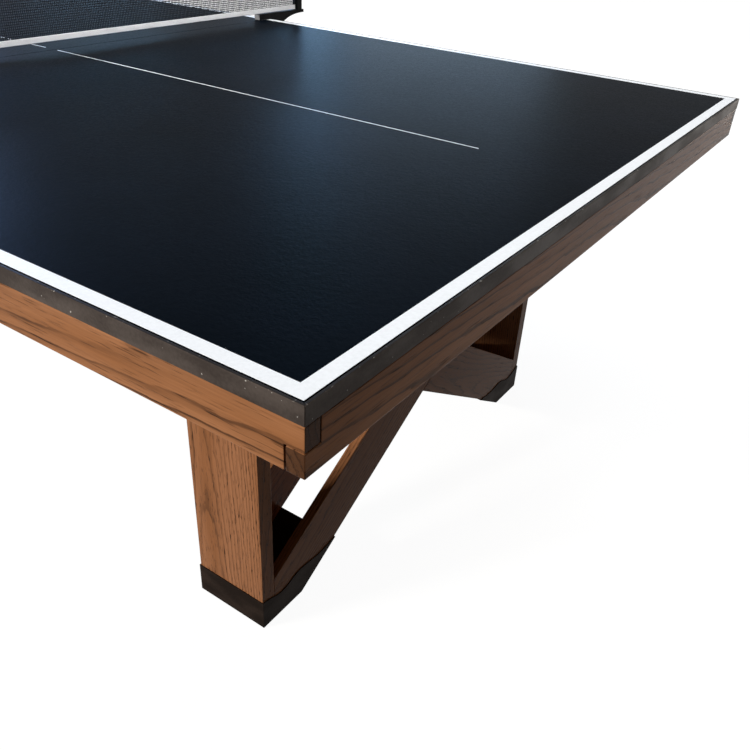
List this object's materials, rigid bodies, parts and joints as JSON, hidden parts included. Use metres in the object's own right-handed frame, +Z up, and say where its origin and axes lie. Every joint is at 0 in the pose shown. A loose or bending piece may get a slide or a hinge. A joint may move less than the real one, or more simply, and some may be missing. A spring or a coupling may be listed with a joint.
{
  "type": "table tennis table",
  "caption": "Full-size table tennis table: dark playing surface with metal edge bands, wooden apron, cross-braced leg frames in metal shoes, and a clamp-on net.",
  "frame": {"origin": "on the floor under the middle of the playing surface", "axes": "+X along the table, +Y across it, +Z up"},
  "size_m": [2.752, 1.8416, 0.9201],
  "materials": {
    "playing_surface": "satin dark blue-black coating on board",
    "edge_band": "dark patinated steel strip",
    "stained_wood": "stained oak, satin",
    "hidden_wood": "plain planed wood",
    "shoe_metal": "dark bronze patina on sheet steel",
    "black_metal": "satin black paint",
    "black_rubber": "matt",
    "black_felt": "pressed felt",
    "net_mesh": "knotted cotton mesh",
    "net_tape": "woven white tape"
  },
  "bodies": {
    "table": {"panel_plus": "playing_surface", "panel_minus": "playing_surface", "band_side_left": "edge_band", "band_side_right": "edge_band", "band_end_plus": "edge_band", "band_end_minus": "edge_band", "apron_side_left": "stained_wood", "apron_side_right": "stained_wood", "apron_end_plus": "stained_wood", "apron_end_minus": "stained_wood", "corner_block_plus_left": "hidden_wood", "corner_block_plus_right": "hidden_wood", "corner_block_minus_left": "hidden_wood", "corner_block_minus_right": "hidden_wood", "seam_rail": "hidden_wood", "bearer_plus_outer": "hidden_wood", "bearer_plus_inner": "hidden_wood", "bearer_minus_outer": "hidden_wood", "bearer_minus_inner": "hidden_wood", "stringer_plus_left": "hidden_wood", "stringer_plus_right": "hidden_wood", "stringer_minus_left": "hidden_wood", "stringer_minus_right": "hidden_wood", "cap_plus": "stained_wood", "cap_minus": "stained_wood", "post_plus_left": "stained_wood", "post_plus_right": "stained_wood", "post_minus_left": "stained_wood", "post_minus_right": "stained_wood", "brace_plus_outer_through": "stained_wood", "brace_plus_outer_crossed": "stained_wood", "brace_plus_inner_through": "stained_wood", "brace_plus_inner_crossed": "stained_wood", "brace_minus_outer_through": "stained_wood", "brace_minus_outer_crossed": "stained_wood", "brace_minus_inner_through": "stained_wood", "brace_minus_inner_crossed": "stained_wood", "shoe_plus_left": "shoe_metal", "shoe_plus_right": "shoe_metal", "shoe_minus_left": "shoe_metal", "shoe_minus_right": "shoe_metal", "net_mesh": "net_mesh", "net_tape_top": "net_tape", "net_tape_bottom": "net_tape", "net_post_left": "black_metal", "net_post_right": "black_metal", "post_cap_left": "black_rubber", "post_cap_right": "black_rubber", "clamp_frame_left": "black_metal", "clamp_frame_right": "black_metal", "clamp_felt_left": "black_felt", "clamp_felt_right": "black_felt"},
    "pad_left": {"clamp_pad_left": "black_metal"},
    "pad_right": {"clamp_pad_right": "black_metal"},
    "screw_left": {"clamp_screw_left": "black_metal"},
    "screw_right": {"clamp_screw_right": "black_metal"}
  },
  "joints": [
    {"name": "pad_left_slide", "type": "slide", "parent": "table", "child": "pad_left", "axis": [0, 0, 1], "range_m": [-0.01201, 0]},
    {"name": "screw_left_turn", "type": "hinge", "parent": "pad_left", "child": "screw_left", "pos_m": [-0.0095, -0.7575, 0.64], "axis": [0, 0, 1], "range_deg": [-2160, 0]},
    {"name": "pad_right_slide", "type": "slide", "parent": "table", "child": "pad_right", "axis": [0, 0, 1], "range_m": [-0.01201, 0]},
    {"name": "screw_right_turn", "type": "hinge", "parent": "pad_right", "child": "screw_right", "pos_m": [-0.0095, 0.7575, 0.64], "axis": [0, 0, 1], "range_deg": [-2160, 0]}
  ],
  "couplings": [
    {"joint": "pad_left_slide", "follows": "screw_left_turn", "m_per_rad": 0.00031831},
    {"joint": "pad_right_slide", "follows": "screw_right_turn", "m_per_rad": 0.00031831}
  ]
}
